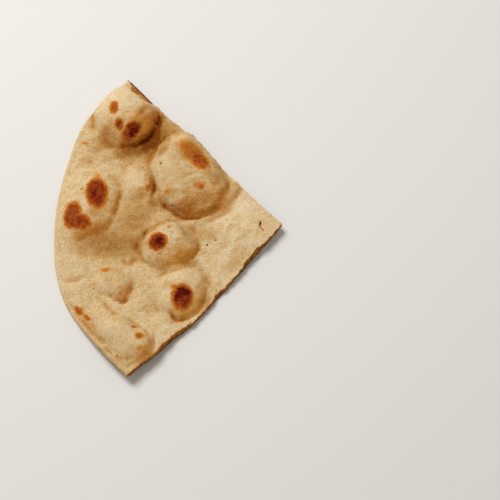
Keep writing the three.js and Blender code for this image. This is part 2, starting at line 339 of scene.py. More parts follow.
# Places that are browned all over rather than toasted, in the same way; many of them are painted shade
# instead:
# shadows that blisters cast, shade at their feet and in creases and valleys, and a darkening over the whole
# left part
BROWNINGS_AND_SHADE = [
    # Round the first corner's blister: the painted shadow that it casts to the lower right and painted shade
    # in the pleat beside it
    ((-59, 50), (6.5, 3.5), 105, 1.15, 0.9),
    ((-54.6, 49.4), (4.8, 2.8), 130, 0.95, 0.9),
    ((-60, 39.4), (3.4, 2.6), 60, 0.84, 0.9),
    ((-90.5, 51.5), (4.2, 2.4), -40, 0.46, 0.9),
    ((-66.5, 47), (11, 3.8), 46, 1.5, 0.8),
    ((-61.8, 57), (7.5, 2.8), 76, 1.1, 0.8),
    ((-76, 42), (9, 3.4), 14, 1.22, 0.8),
    ((-65.5, 44), (13, 6.5), 30, 0.7, 0.9),
    ((-59.5, 50), (9, 5), 60, 0.9, 0.9),
    ((-58.5, 53.6), (10, 6), 133, 0.85, 0.8),
    ((-85, 45.5), (12, 3.5), -17, 0.4, 0.9),
    # Round the dome: painted shade under its foot and in the creases beside it, and browning on it
    ((-37, 11.2), (4.6, 2.4), 30, 0.9, 0.9),
    ((-34.6, 23.9), (5, 3.4), -50, 0.62, 0.9),
    ((-55, 15.6), (3.4, 2.6), -30, 0.62, 0.9),
    ((-64.4, 13.6), (3.4, 3), 0, 0.9, 0.9),
    ((-64.6, 19.5), (5.5, 1.4), 82, 1.1, 0.7),
    ((-50, 25), (16, 13), 110, 0.34, 0.9),
    ((-60, 12), (6, 3), -50, 0.6, 0.9),
    ((-29.5, 26.5), (11, 3), -52, 0.45, 0.9),
    ((-42, 7.4), (12, 2.4), 10, 0.5, 0.9),
    ((-43, 9.5), (15, 4.5), 12, 0.6, 0.9),
    ((-48, 6), (17, 3.5), 10, 0.45, 0.9),
    # On the left, from the rim's blister to the eye: the painted shadow that the rim's blister casts on the
    # valley, painted shade in the hollow by the eye, and the left part darkened all over
    ((-85, -9.5), (16, 8.5), -6, 0.86, 0.9),
    ((-72.5, 7), (13, 8.4), 30, 0.62, 0.9),
    ((-88.5, 38), (5, 3), -20, 0.38, 0.9),
    ((-70.8, 31.8), (3.4, 2.2), 0, 0.44, 0.9),
    ((-97.4, 37), (4.4, 3), 10, 0.38, 0.9),
    ((-92, 6.6), (6, 3.6), 10, 0.5, 0.9),
    ((-74, -17.4), (4.2, 3.2), 70, 0.54, 0.8),
    ((-71.5, -10), (4, 0.8), 82, 0.5, 0.7),
    ((-80, -15), (34, 60), 0, 0.15, 0.9),
    ((-76, 0), (13, 4.5), 25, 0.58, 0.9),
    # Round the eye, the lower blister and the tip: painted shade at the blisters' feet, in the gaps between
    # them and in the folds, and browning
    ((-24, -20.4), (7.5, 3.4), 35, 0.42, 0.9),
    ((-37, -5), (6.5, 3.6), -20, 0.5, 0.9),
    ((-39.5, 1.6), (4.2, 2.6), 0, 0.42, 0.9),
    ((-61, -0.4), (3.8, 2), 25, 0.76, 0.9),
    ((-37.2, -40.4), (5, 2.4), 75, 0.64, 0.9),
    ((-32.6, -34), (4.2, 2.6), 60, 0.36, 0.9),
    ((-67.8, -4), (6.5, 2.8), 32, 0.88, 0.9),
    ((-56, -33.2), (4.4, 2.8), 0, 0.4, 0.9),
    ((-45.4, -0.6), (4.2, 2.6), 20, 0.5, 0.9),
    ((-44.8, -20.4), (3.6, 1.8), 20, 0.75, 0.9),
    ((-57.5, 2), (8.5, 2), 18, 0.6, 0.9),
    ((-64.5, -3), (7, 2.2), 45, 0.7, 0.8),
    ((-36.6, -37), (7, 2.2), 82, 0.2, 0.9),
    ((-47.5, -22.3), (6, 1.4), 15, 0.7, 0.8),
    ((-53.5, -24.9), (8, 1.2), 17, 0.6, 0.8),
    ((-47.2, -5.2), (8.5, 2.6), 128, 0.45, 0.9),
    # By the drop and the second corner: browning along the rim and round the drop, and painted shade at the
    # drop's foot
    ((-64.8, -61), (1.6, 4), 15, 0.48, 0.9),
    ((-73.8, -33), (2, 3.6), -15, 0.5, 0.9),
    ((-92, -58), (26, 6), -50, 0.24, 0.9),
    ((-75.5, -71.5), (12, 5.5), 20, 0.36, 0.9),
    ((-73.9, -71.6), (2.6, 1.2), 10, 0.66, 0.9),
    ((-88.1, -66), (2.6, 1), -45, 0.6, 0.9),
    ((-78.2, -71.2), (3, 1.2), -30, 0.64, 0.9),
    ((-83.8, -67.4), (3.2, 1.1), -42, 0.64, 0.9),
    ((-72.7, -74.6), (2.4, 1), 30, 0.64, 0.9),
    ((-66, -68), (1.6, 3), -20, 0.6, 0.9),
    ((-83, -28), (11, 8), 120, 0.26, 0.9),
]

# Floury places that stay paler, in the same way, and one place lightened as painted light
FLOURS_AND_LIGHT = [
    ((-30.5, -11), (7, 5), 20, 0.6, 0.9),
    ((-77, -60.5), (9, 4), -40, 0.8, 0.9),
    ((-90, -63.5), (7, 2), -47, 0.7, 0.9),
    # Painted light: lightens the shaded bottom flank of the lower blister
    ((-46.5, -46.6), (4.4, 2.6), 10, 0.9, 0.9),
    ((-104, -20), (6, 14), 0, 0.6, 0.9),
    ((-80, 72), (11, 6), 50, 0.9, 0.8),
    ((-53, 44), (6, 3), 40, 1, 0.8),
    ((-58, 32), (5, 8), 20, 0.6, 0.9),
    ((-74, 27), (5, 7), 0, 0.5, 0.8),
    ((-64, -10), (7, 7), 0, 0.5, 0.8),
    ((-52, -36), (10, 9), 78, 0.6, 0.7),
    ((-28, -24), (9, 5), 40, 0.9, 0.8),
    ((-20, 10), (8, 5), -45, 0.8, 0.8),
    ((-16, -8), (8, 4), 45, 0.6, 0.8),
    ((-56, -58), (7, 4), 40, 0.9, 0.8),
    ((-62, -48), (6, 4), 30, 0.6, 0.8),
    ((-97, 10), (4, 5), 40, 0.7, 0.8),
]


def colour(red, green, blue):
    """A colour as the shaders take it, from its usual 0 to 255 values."""
    channels = [value / 255 for value in (red, green, blue)]
    return tuple(c / 12.92 if c < 0.04045 else ((c + 0.055) / 1.055) ** 2.4 for c in channels) + (1,)


# Colours of the dough from shaded grain to flour, what browning and painted shade take from them, the golden
# tint of painted shade, and the colours of bran, herb, toast from light to black and crumb
DOUGH_STEPS = [(0, colour(203, 166, 110)), (0.5, colour(221, 193, 147)), (1, colour(233, 214, 178))]
BROWN_AND_SHADE_TINTS = [
    (0, (1, 1, 1, 1)),
    (0.35, (0.75, 0.6, 0.39, 1)),
    (0.7, (0.5, 0.3, 0.1, 1)),
    (1, (0.25, 0.09, 0.01, 1)),
]
SHADE_GOLD_TINT = (1, 0.6, 0.2, 1)
BRAN = colour(150, 92, 44)
HERB = colour(84, 88, 34)
TOAST_STEPS = [
    (0.12, colour(212, 156, 84)),
    (0.34, colour(192, 114, 38)),
    (0.58, colour(154, 70, 22)),
    (0.8, colour(120, 32, 8)),
    (1, colour(76, 7, 2)),
]
CRUMB_STEPS = [(0.3, colour(150, 86, 32)), (0.5, colour(186, 126, 60)), (0.7, colour(210, 164, 98))]

# Wholemeal dough: size and detail of its clouds and what each adds to its tone, and the span of the tone
DOUGH_CLOUDS = {
    "patches": (14, 3, 0.36),
    "mottle": (3.2, 4, 0.5),
    "grain": (0.8, 3, 0.36),
    "speckle": (0.36, 1, 1.35),
}
TONE_SPAN = (-0.18, 0.18)
PATCH_SIZE = 2.2
CLOUD_ROUGHNESS = 0.55
CLOUD_SPAN = (0.3, 0.7)
CLOUD_MIDDLE = 0.5
RELIEF_SHARES = {"mottle": 0.6, "grain": 0.4}

# Bran flecks and faint freckles: how close they are, which of them show, how large and how dark
FLECKS_PER_MM = 0.28
FLECKS_SHOWN = (0.55, 1)
FLECK_SIZES = (0, 0.17)
BRAN_SHARE = 0.45
FRECKLE_SIZE = 5.5
FRECKLES_SHOWN = (0.6, 0.76)
FRECKLE_DARK = 0.2

# What makes the edges of spots ragged: size and stray of the waves
RAGGED_WAVES = ((5, 1.8), (1.5, 1.5), (0.5, 0.9))
RAGGED_DETAIL = 2

# How the form paints shade on the upper skin: the side that flanks turned away from the key light face, and
# how much creases, crowns, flanks and hollows are given the golden tint of painted shade or brown over spans
# of millimetres under their surroundings, or of slope. Flanks and creases get painted shade, hollows partly
# browning and partly painted shade, and crowns a little of the tint to tone down the light that they catch
SHADED_SIDE = (0.6, -0.8, 0)
CREASE_SPAN = (0.07, 0.38)
CREASE_SHADE_GOLD = 0.45
CREASE_SHADE_BROWN = 0.2
CROWN_SPAN = (-0.2, -2.6)
CROWN_GOLD = 0.28
SHADE_FLANK_SPAN = (0, 0.7)
HOLLOW_SPAN = (0.1, 1.6)
HOLLOW_BROWN_AND_SHADE = 0.4

# How many steps away the surroundings of hollows, creases and flanks are taken from
HOLLOW_REACH = 160
CREASE_REACH = 14
SHADE_FLANK_REACH = 10

# How patches and grain break up what is browned or painted as shade and what is toasted, when toast covers
# the dough, and what flour adds
BROWN_PATCHES = (0.75, 0.61)
TOAST_PATCH_SPAN = (0.35, 0.65)
TOAST_PATCHES = (0.36, 0.62)
TOAST_GRAIN = (0.34, 0.6)
TOAST_COVERS = (0.03, 0.3)
FLOUR_SHARE = 0.3

# The underside: size, span and strength of its toasted freckles and of its browning
UNDER_TOAST = {"size": 9, "span": (0.52, 0.78), "ends": (0, 0.8)}
UNDER_BROWN = {"size": 25, "span": CLOUD_SPAN, "ends": (0.14, 0.56)}

# The crumb: its pores, the painted shade that depth takes from its colour, first near the mouth and then
# further in, and what the toasted lower skin takes
PORE_SIZE = 1.6
PORE_DETAIL = 4
POCKET_SHADE_TINT = (0.2, 0.1, 0.03, 1)
MOUTH_SPAN = (0.3, 2.5)
MOUTH_SHADE_SHARE = 0.45
POCKET_SPAN = (2, 10)
LOW_TINT = (0.42, 0.2, 0.07, 1)
LOW_SPAN = (0.3, 1)

# Finish of all of it: sheen, roughness from the grain's hollows to its crowns, the fine relief, and the
# angle up to which the shading is smooth
SHEEN = 0.06
ROUGHNESS = (0.9, 0.68)
RELIEF_STRENGTH = 0.5
SKIN_RELIEF = 0.5
CRUMB_RELIEF = 0.6
SMOOTH_ANGLE = 50

# The photograph's camera: its height over the table in degrees, its distance and lens, and where the
# point that it is aimed at lies from the tip
CAMERA_ELEVATION = 65
CAMERA_DISTANCE = 800
CAMERA_LENS = 116.35
CAMERA_SENSOR = 36
AIM_FROM_TIP = (-15.8, -11.7)

# The floor and the light, in metres and watts
FLOOR_SIZE = 4
FLOOR_COLOUR = (0.82, 0.81, 0.79, 1)
FLOOR_ROUGHNESS = 0.9
KEY_PLACE = (-0.42, 0.5, 0.98)
KEY_SIZE = 0.5
KEY_POWER = 10.4
STUDIO_COLOUR = (1, 0.95, 0.85, 1)
STUDIO_STRENGTH = 0.36


def mm(*values):
    """A vector in metres from millimetres."""
    return Vector(values) * MM


def bearing(degrees):
    """Unit vector in plan along a bearing from the tip."""
    return Vector((math.cos(math.radians(degrees)), math.sin(math.radians(degrees)), 0))


def pick(piece, wanted, kind="VERT"):
    """Selects the points, edges or faces in view that wanted() agrees to, and nothing else."""
    bpy.ops.mesh.select_mode(type=kind)
    bpy.ops.mesh.select_all(action="DESELECT")
    mesh = bmesh.from_edit_mesh(piece.data)
    elements = {"VERT": mesh.verts, "EDGE": mesh.edges, "FACE": mesh.faces}[kind]
    for element in elements:
        if not element.hide and wanted(element):
            element.select_set(True)
    mesh.select_flush_mode()
    bmesh.update_edit_mesh(piece.data)


def unpick(piece, unwanted):
    """Takes the points that unwanted() agrees to out of the selection."""
    mesh = bmesh.from_edit_mesh(piece.data)
    for v in mesh.verts:
        if v.select and unwanted(v):
            v.select_set(False)
    mesh.select_flush_mode()
    bmesh.update_edit_mesh(piece.data)


def pick_around(piece, place, reach):
    """Selects the points within reach of a place in plan, through the whole sheet."""
    pick(piece, lambda v: (v.co.xy - place.xy).length < reach * MM)


def mark(piece, name):
    """Keeps what is selected as a vertex group."""
    bpy.ops.object.vertex_group_assign_new()
    piece.vertex_groups.active.name = name


def recall(piece, *names):
    """Selects the points of the named vertex groups, and nothing else."""
    bpy.ops.mesh.select_mode(type="VERT")
    bpy.ops.mesh.select_all(action="DESELECT")
    for name in names:
        piece.vertex_groups.active_index = piece.vertex_groups[name].index
        bpy.ops.object.vertex_group_select()


def group_members(piece, name):
    """Points of a vertex group."""
    index = piece.vertex_groups[name].index
    return [v for v in piece.data.vertices if any(g.group == index for g in v.groups)]


def plan_tree(places):
    """A search tree of numbered places in plan."""
    tree = KDTree(len(places))
    for number, place in places.items():
        tree.insert((place.x, place.y, 0), number)
    tree.balance()
    return tree


def walk(points):
    """Points a small step apart along a smooth path through the given ones, in millimetres."""
    spots = [Vector(p) for p in points]
    padded = [2 * spots[0] - spots[1], *spots, 2 * spots[-1] - spots[-2]]
    path = [spots[0]]
    for before, start, end, after in zip(padded, padded[1:], padded[2:], padded[3:]):
        count = max(1, round((end - start).length / PATH_STEP))
        for n in range(1, count + 1):
            t = n / count
            ease = (3 * start - before - 3 * end + after) * t**3
            ease += (2 * before - 5 * start + 4 * end - after) * t**2
            path.append((ease + (end - before) * t + 2 * start) / 2)
    return path


def pick_near(piece, plan, path, reach):
    """Selects the points of the upper skin within reach of a path in plan."""
    bpy.ops.mesh.select_all(action="DESELECT")
    mesh = bmesh.from_edit_mesh(piece.data)
    mesh.verts.ensure_lookup_table()
    for x, y in path:
        for _, index, _ in plan.find_range(mm(x, y, 0), reach * MM):
            mesh.verts[index].select_set(True)
    mesh.select_flush_mode()
    bmesh.update_edit_mesh(piece.data)


def drag(value, reach, falloff="SMOOTH"):
    """Moves what is selected, and what lies within reach less and less, as proportional editing does."""
    bpy.ops.transform.translate(
        value=value,
        use_proportional_edit=True,
        proportional_edit_falloff=falloff,
        proportional_size=reach * MM,
    )


def roll_sheet():
    """The flat quarter: a section of the sheet with a round rim, spun from the first cut to the second."""
    along = bearing(FIRST_CUT)
    middle = along * ROUND_RADIUS * MM / 2 + mm(0, 0, SHEET / 2)
    upright = (math.pi / 2, 0, math.radians(FIRST_CUT))
    bpy.ops.object.select_all(action="DESELECT")
    bpy.ops.mesh.primitive_plane_add(size=1, location=middle, rotation=upright)
    piece = bpy.context.object
    piece.name = "roti_bread"
    piece.scale = (ROUND_RADIUS * MM, SHEET * MM, 1)
    bpy.ops.object.transform_apply(location=True, rotation=True, scale=True)

    half_way = ROUND_RADIUS * MM / 2
    hair = HAIR * MM
    bpy.ops.object.mode_set(mode="EDIT")
    pick(piece, lambda v: v.co.xy.length > half_way)
    bpy.ops.mesh.bevel(offset=RIM_BEVEL * MM, segments=RIM_SEGMENTS, affect="VERTICES")
    bpy.ops.mesh.select_all(action="SELECT")
    bpy.ops.mesh.delete(type="ONLY_FACE")
    pick(piece, lambda e: all(v.co.xy.length < hair for v in e.verts), "EDGE")
    bpy.ops.mesh.delete(type="EDGE")
    pick(piece, lambda e: e.calc_length() > half_way, "EDGE")
    bpy.ops.mesh.subdivide(number_cuts=RINGS - 1)

    bpy.ops.mesh.select_mode(type="VERT")
    bpy.ops.mesh.select_all(action="SELECT")
    sweep = math.radians(SECOND_CUT - FIRST_CUT)
    bpy.ops.mesh.spin(steps=SPOKES, angle=-sweep, center=(0, 0, 0), axis=(0, 0, 1))
    bpy.ops.mesh.select_all(action="SELECT")
    bpy.ops.mesh.remove_doubles(threshold=WELD * MM)
    bpy.ops.mesh.subdivide(number_cuts=FINE_CUTS)
    bpy.ops.mesh.select_all(action="SELECT")
    bpy.ops.mesh.normals_make_consistent(inside=False)
    pick(piece, lambda v: v.is_boundary and v.co.z > SHEET * MM - hair)
    mark(piece, "upper_edge")
    pick(piece, lambda v: v.is_boundary and v.co.z < hair)
    mark(piece, "lower_edge")
    return piece


def shape_outline(piece):
    """Swings the second cut's corner in, and lets the rim and the cuts stray from their lines."""
    second_corner = bearing(SECOND_CUT) * ROUND_RADIUS * MM
    pick_around(piece, second_corner, CORNER_SIZE)
    bpy.ops.transform.rotate(
        value=math.radians(CORNER_SWING),
        orient_axis="Z",
        center_override=(0, 0, 0),
        use_proportional_edit=True,
        proportional_edit_falloff="SMOOTH",
        proportional_size=CORNER_REACH * MM,
    )
    for stray in STRAYS.values():
        degrees, from_tip = stray["at"]
        pick_around(piece, bearing(degrees) * from_tip * MM, CORNER_SIZE)
        drag(bearing(stray["towards"]) * stray["by"] * MM, stray["reach"])


def hide_underside(piece):
    """Puts the lower half out of reach, so that only the upper skin is worked on."""
    pick(piece, lambda f: f.calc_center_median().z < SHEET * MM * UPPER_FROM, "FACE")
    bpy.ops.mesh.hide()
    bpy.ops.mesh.select_mode(type="VERT")
    bpy.ops.mesh.select_all(action="SELECT")
    mark(piece, "upper_skin")


def plan_of_upper_skin(piece):
    """A search tree of the upper skin's points in plan."""
    mesh = bmesh.from_edit_mesh(piece.data)
    mesh.verts.index_update()
    return plan_tree({v.index: v.co for v in mesh.verts if not v.hide})


def spine_of(half, turn):
    """Half of the line that a blister's crown runs along."""
    return bearing(turn).xy * (half[0] - half[1])


def swell(piece, plan, falloff, at, half, turn, height, lean=(0, 0)):
    """Swells a blister out of the upper skin, or sinks a hollow into it."""
    spine = spine_of(half, turn)
    pick_near(piece, plan, walk([Vector(at) - spine, Vector(at) + spine]), CROWN_WIDTH)
    drag(mm(*lean, height), half[1], falloff)


def blister(piece, plan, at, half, turn, height, steep, lean=(0, 0)):
    """Swells a blister with a crisp foot: partly a ball and partly a bowl turned over."""
    for falloff, share in (("SPHERE", steep), ("INVERSE_SQUARE", 1 - steep)):
        swell(piece, plan, falloff, at, half, turn, height * share, Vector(lean) * share)


def press(piece, plan, path, depth, reach):
    """Presses one crease into the upper skin, or raises a ridge, that runs out at both ends."""
    steps = walk(path)
    for share in CREASE_ENDS:
        cut_off = round(len(steps) * share)
        pick_near(piece, plan, steps[cut_off : len(steps) - cut_off], CREASE_WIDTH)
        drag(mm(0, 0, -depth / len(CREASE_ENDS)), reach)


def foot_path(name, bearings):
    """Points along a blister's foot between two bearings."""
    shape = BLISTERS[name]
    spine = spine_of(shape["half"], shape["turn"])
    path = []
    for degrees in range(bearings[0], bearings[1] + 1, FOOT_STEP):
        out = bearing(degrees).xy
        end = spine if out.dot(spine) > 0 else -spine
        path.append(Vector(shape["at"]) + end + out * shape["half"][1])
    return path


def ease_foot(piece, plan, path, steps):
    """Smooths the part of a blister's foot that runs softly into the sheet."""
    pick_near(piece, plan, walk(path), EASE_REACH)
    unpick(piece, lambda v: v.is_boundary or v.co.xy.length > (ROUND_RADIUS - EASE_REACH) * MM)
    bpy.ops.mesh.vertices_smooth(factor=SMOOTHING, repeat=steps)


def inwards(cut):
    """The way from a cut into the bread."""
    return bearing(cut + 90 if cut == FIRST_CUT else cut - 90)


def cut_at(place):
    """The cut on whose side a place lies, which is the first for the tip."""
    return FIRST_CUT if place.y > -HAIR * MM else SECOND_CUT


def draw_back(piece, cut, span, by, reach):
    """Draws the upper skin back from a cut, between two distances from the tip."""
    recall(piece, "upper_edge")
    unpick(piece, lambda v: not span[0] <= v.co.xy.length / MM <= span[1] or cut_at(v.co) != cut)
    drag(inwards(cut) * by * MM, reach)


def soften(piece):
    """Relaxes the upper skin, with its outline left alone."""
    pick(piece, lambda v: not v.is_boundary and all(not f.hide for f in v.link_faces))
    bpy.ops.mesh.vertices_smooth(factor=SMOOTHING, repeat=SOFTENINGS)


def cut_lines(piece):
    """Search trees of the points along each cut, in plan."""
    edge = [v.co for v in group_members(piece, "lower_edge")]
    cuts = (FIRST_CUT, SECOND_CUT)
    return {cut: plan_tree(dict(enumerate(p for p in edge if cut_at(p) == cut))) for cut in cuts}


def off_cut(lines, cut, place):
    """How far a place lies from a cut in plan, in millimetres."""
    return lines[cut].find((place.x, place.y, 0))[2] / MM


def cloud_texture(name, size, detail):
    """A cloudy texture with lumps of about the size given, for moving the skin."""
    texture = bpy.data.textures.new(name, "CLOUDS")
    texture.noise_scale = size * MM
    texture.noise_depth = detail
    return texture


def displace(piece, name, group, strength, direction, texture=None, level=CLOUD_MIDDLE):
    """Moves the points of a vertex group by a texture, or evenly, and applies it."""
    change = piece.modifiers.new(name, "DISPLACE")
    change.vertex_group = group
    change.strength = strength * MM
    change.mid_level = level
    change.direction = direction
    change.texture = texture
    change.texture_coords = "LOCAL"
    bpy.ops.object.modifier_apply(modifier=name)


def tear_back(piece):
    """Tears small bites out of the upper skin along the cuts, which bares the crumb."""
    bpy.ops.object.mode_set(mode="OBJECT")
    lines = cut_lines(piece)
    bites = cloud_texture("bites", TEAR_SIZE, TEAR_DETAIL)
    for cut, by in TEARS.items():
        torn = piece.vertex_groups.new(name=f"torn_{cut}")
        for v in group_members(piece, "upper_skin"):
            from_tip = min(v.co.xy.length / MM / OPENING_FADE, 1)
            share = (1 - off_cut(lines, cut, v.co) / TEAR_REACH) * from_tip
            if share > 0:
                torn.add([v.index], share, "REPLACE")
        for along, part in zip("XY", inwards(cut)):
            displace(piece, "tear", torn.name, by * part, along, bites, TEAR_LEVEL)
    bpy.ops.object.mode_set(mode="EDIT")


def raise_lip(piece, edge, lip, rise):
    """Gives one skin its cut face, along both cuts."""
    recall(piece, edge)
    bpy.ops.mesh.select_mode(type="EDGE")
    bpy.ops.mesh.extrude_edges_move(TRANSFORM_OT_translate={"value": mm(0, 0, rise)})
    mark(piece, lip)


def close_cuts(piece):
    """Makes the sides that the two cuts left: two skins, the wall between them and the rim's ends."""
    bpy.ops.mesh.reveal(select=False)
    raise_lip(piece, "upper_edge", "upper_lip", -SKIN)
    raise_lip(piece, "lower_edge", "lower_lip", SKIN)
    recall(piece, "upper_lip", "lower_lip")
    bpy.ops.mesh.select_mode(type="EDGE")
    points_before = len(bmesh.from_edit_mesh(piece.data).verts)
    bpy.ops.mesh.bridge_edge_loops(number_cuts=EDGE_ROWS, interpolation="LINEAR")
    bmesh.from_edit_mesh(piece.data).verts.index_update()
    pick(piece, lambda v: v.index >= points_before)
    mark(piece, "wall")
    pick(piece, lambda e: e.is_boundary, "EDGE")
    mark(piece, "rim_ends")
    bpy.ops.mesh.fill_holes(sides=0)
    bpy.ops.mesh.select_all(action="SELECT")
    bpy.ops.mesh.normals_make_consistent(inside=False)


def warp(piece):
    """Strays the upper skin inside its edges, so that no blister stays round and no flat stays flat."""
    inner = piece.vertex_groups.new(name="inner")
    lines = cut_lines(piece)
    for v in group_members(piece, "upper_skin"):
        off_edges = [off_cut(lines, cut, v.co) for cut in lines]
        inside = min(*off_edges, ROUND_RADIUS - v.co.xy.length / MM) / WARP_MARGIN
        if inside > 0:
            inner.add([v.index], min(inside, 1), "REPLACE")
    for along, wave in WARPS.items():
        waves = cloud_texture("warp", wave["size"], WARP_DETAIL)
        displace(piece, "warp", "inner", wave["stray"], along, waves)


def fray_cuts(piece):
    """Strays the two cuts a little from their lines, as a blunt knife leaves them."""
    near = piece.vertex_groups.new(name="near_cut")
    lines = cut_lines(piece)
    for v in piece.data.vertices:
        nearness = {cut: 1 - off_cut(lines, cut, v.co) / FRAY_REACH for cut in lines}
        share = max(FRAY_SHARES[cut] * nearness[cut] for cut in lines)
        if share > 0:
            near.add([v.index], share, "REPLACE")
    for along, size in zip("XY", FRAY_SIZES):
        displace(piece, "fray", "near_cut", FRAY, along, cloud_texture("fray", size, FRAY_DETAIL))


def weigh_wall(piece):
    """Weighs the wall between the skins by how deep it is to be sunk, and by how near it is to each skin."""
    lips = group_members(piece, "upper_lip")
    above = plan_tree(dict(enumerate(v.co for v in lips)))
    upper = piece.vertex_groups.new(name="upper_cut")
    lower = piece.vertex_groups.new(name="lower_cut")
    upper.add([v.index for v in lips], 1, "REPLACE")
    lower.add([v.index for v in group_members(piece, "lower_lip")], 1, "REPLACE")
    for v in group_members(piece, "wall"):
        _, n, _ = above.find((v.co.x, v.co.y, 0))
        gap = max(lips[n].co.z / MM - SKIN, LEAST_GAP)
        share = min(max((v.co.z / MM - SKIN) / gap, 0), 1)
        lift = max(gap - (SHEET - 2 * SKIN), 0)
        wave = noise.noise(v.co.xy.to_3d() / (SLIT_WAVES * MM))
        depth = min(SLIT_DEPTH * (SLIT_LEVEL + wave) + POCKET_PER_LIFT * lift, POCKET_DEPTH)
        from_tip = v.co.xy.length / MM
        fade = min(from_tip / OPENING_FADE, (ROUND_RADIUS - from_tip) / OPENING_FADE, 1)
        weight = depth / POCKET_DEPTH * math.sin(math.pi * share) ** SLIT_ROUNDING * max(fade, 0)
        piece.vertex_groups["wall"].add([v.index], min(max(weight, 0), 1), "REPLACE")
        upper.add([v.index], share, "REPLACE")
        lower.add([v.index], 1 - share, "REPLACE")


def open_cuts(piece):
    """Strays the skin and the cuts, and sinks the slits and pockets between the skins."""
    bpy.ops.object.mode_set(mode="OBJECT")
    warp(piece)
    fray_cuts(piece)
    weigh_wall(piece)
    displace(piece, "pocket", "wall", -POCKET_DEPTH, "NORMAL", level=0)
    bpy.ops.object.mode_set(mode="EDIT")


def thin_underside(piece):
    """Makes the flat underside coarser, because nothing on it is fine."""
    on_table = HAIR * MM
    pick(piece, lambda f: f.normal.z < FLAT_DOWN and max(v.co.z for v in f.verts) < on_table, "FACE")
    bpy.ops.mesh.decimate(ratio=UNDERSIDE_SHARE)


def curl(piece, at, reach, rise):
    """Lifts one place on the edge off the table, through the whole sheet."""
    pick_around(piece, mm(*at, 0), CORNER_SIZE)
    drag(mm(0, 0, rise), reach)


def roughen(piece):
    """Gives the upper skin its puckers, wrinkles and grain, and the cut walls a ragged face."""
    for name, wave in UNEVENNESS.items():
        waves = cloud_texture(name, wave["size"], UNEVEN_DETAIL)
        displace(piece, name, wave["on"], wave["stray"], wave["along"], waves)


def keep(piece, name, values):
    """Keeps one value for each point as an attribute that the materials read."""
    piece.data.attributes.new(name, "FLOAT", "POINT").data.foreach_set("value", values)


def note_form(piece):
    """Keeps how sunk, low in the cut, hollow, creased and turned away from the key light, for painted shade,
    each point is.
    """
    count = len(piece.data.vertices)
    places = np.empty(count * 3)
    piece.data.vertices.foreach_get("co", places)
    height = places[2::3] / MM
    normals = np.empty(count * 3)
    piece.data.vertices.foreach_get("normal", normals)
    ends = np.empty(len(piece.data.edges) * 2, dtype=np.int64)
    piece.data.edges.foreach_get("vertices", ends)
    start, end = ends[0::2], ends[1::2]
    neighbours = np.bincount(start, minlength=count) + np.bincount(end, minlength=count)

    def eased(values, steps):
        for _ in range(steps):
            summed = np.bincount(start, values[end], count) + np.bincount(end, values[start], count)
            values = (values + summed / neighbours) / 2
        return values

    def weights(name):
        values = np.zeros(count)
        group = piece.vertex_groups[name]
        for v in group_members(piece, name):
            values[v.index] = group.weight(v.index)
        return values

    keep(piece, "sunk", weights("wall") * POCKET_DEPTH)
    keep(piece, "low", np.maximum(weights("lower_cut"), weights("lower_edge")))
    keep(piece, "hollow", eased(height, HOLLOW_REACH) - height)
    keep(piece, "crease", eased(height, CREASE_REACH) - height)
    # How far each point faces away from the key light, which sets its painted shade
    keep(piece, "shade_flank", eased(normals.reshape(-1, 3) @ np.array(SHADED_SIDE), SHADE_FLANK_REACH))


def bread():
    """The whole quarter, with its tip at the origin."""
    piece = roll_sheet()
    shape_outline(piece)
    hide_underside(piece)
    plan = plan_of_upper_skin(piece)
    for name, foot in FEET.items():
        press(piece, plan, foot_path(name, foot["bearings"]), foot["depth"], FOOT_REACH)
    for values in CREASES.values():
        press(piece, plan, **values)
    for values in SWELLS.values():
        swell(piece, plan, "SMOOTH", **values)
    for values in BLISTERS.values():
        blister(piece, plan, **values)
    for name, foot in FEET.items():
        soft = (foot["bearings"][1], foot["bearings"][0] + 360)
        ease_foot(piece, plan, foot_path(name, soft), foot["ease"])
    for values in WRINKLES.values():
        press(piece, plan, **values)
    for values in DRAWN_BACK.values():
        draw_back(piece, **values)
    soften(piece)
    tear_back(piece)
    close_cuts(piece)
    open_cuts(piece)
    thin_underside(piece)
    for values in CURLS.values():
        curl(piece, **values)
    bpy.ops.object.mode_set(mode="OBJECT")
    roughen(piece)
    note_form(piece)
    return piece


def add(tree, kind, inputs=None, **settings):
    """Adds a node, with its settings and with its inputs joined or set."""
    made = tree.nodes.new(kind)
    for name, value in settings.items():
        setattr(made, name, value)
    for name, value in (inputs or {}).items():
        if isinstance(value, bpy.types.NodeSocket):
            tree.links.new(value, made.inputs[name])
        else:
            made.inputs[name].default_value = value
    return made


def calculate(tree, operation, first, second=0.0, third=0.0, clamp=False):
    """One sum on two or three values."""
    inputs = {0: first, 1: second, 2: third}
    return add(tree, "ShaderNodeMath", inputs, operation=operation, use_clamp=clamp).outputs[0]


def shift(tree, operation, place, by):
    """One sum on a place or a direction."""
    inputs = {0: place, "Scale" if operation == "SCALE" else 1: by}
    return add(tree, "ShaderNodeVectorMath", inputs, operation=operation).outputs[0]


def ramp(tree, value, span, ends=(0, 1)):
    """Eases a value from one end to the other over a span."""
    low, high = span
    inputs = {"Value": value, "From Min": low, "From Max": high, "To Min": ends[0], "To Max": ends[1]}
    return add(tree, "ShaderNodeMapRange", inputs, interpolation_type="SMOOTHSTEP").outputs["Result"]


def blend(tree, share, first, second):
    """Goes from the first colour to the second."""
    return add(tree, "ShaderNodeMix", {0: share, 6: first, 7: second}, data_type="RGBA").outputs[2]


def tinted(tree, share, shade, tint):
    """Multiplies a colour by a share of a tint."""
    inputs = {0: share, 6: shade, 7: tint}
    return add(tree, "ShaderNodeMix", inputs, data_type="RGBA", blend_type="MULTIPLY").outputs[2]


def clouds(tree, place, size, detail=3, output="Fac"):
    """Cloudy noise with lumps of about the size given, in millimetres."""
    inputs = {"Vector": place, "Scale": 1 / size, "Detail": detail, "Roughness": CLOUD_ROUGHNESS}
    return add(tree, "ShaderNodeTexNoise", inputs).outputs[output]


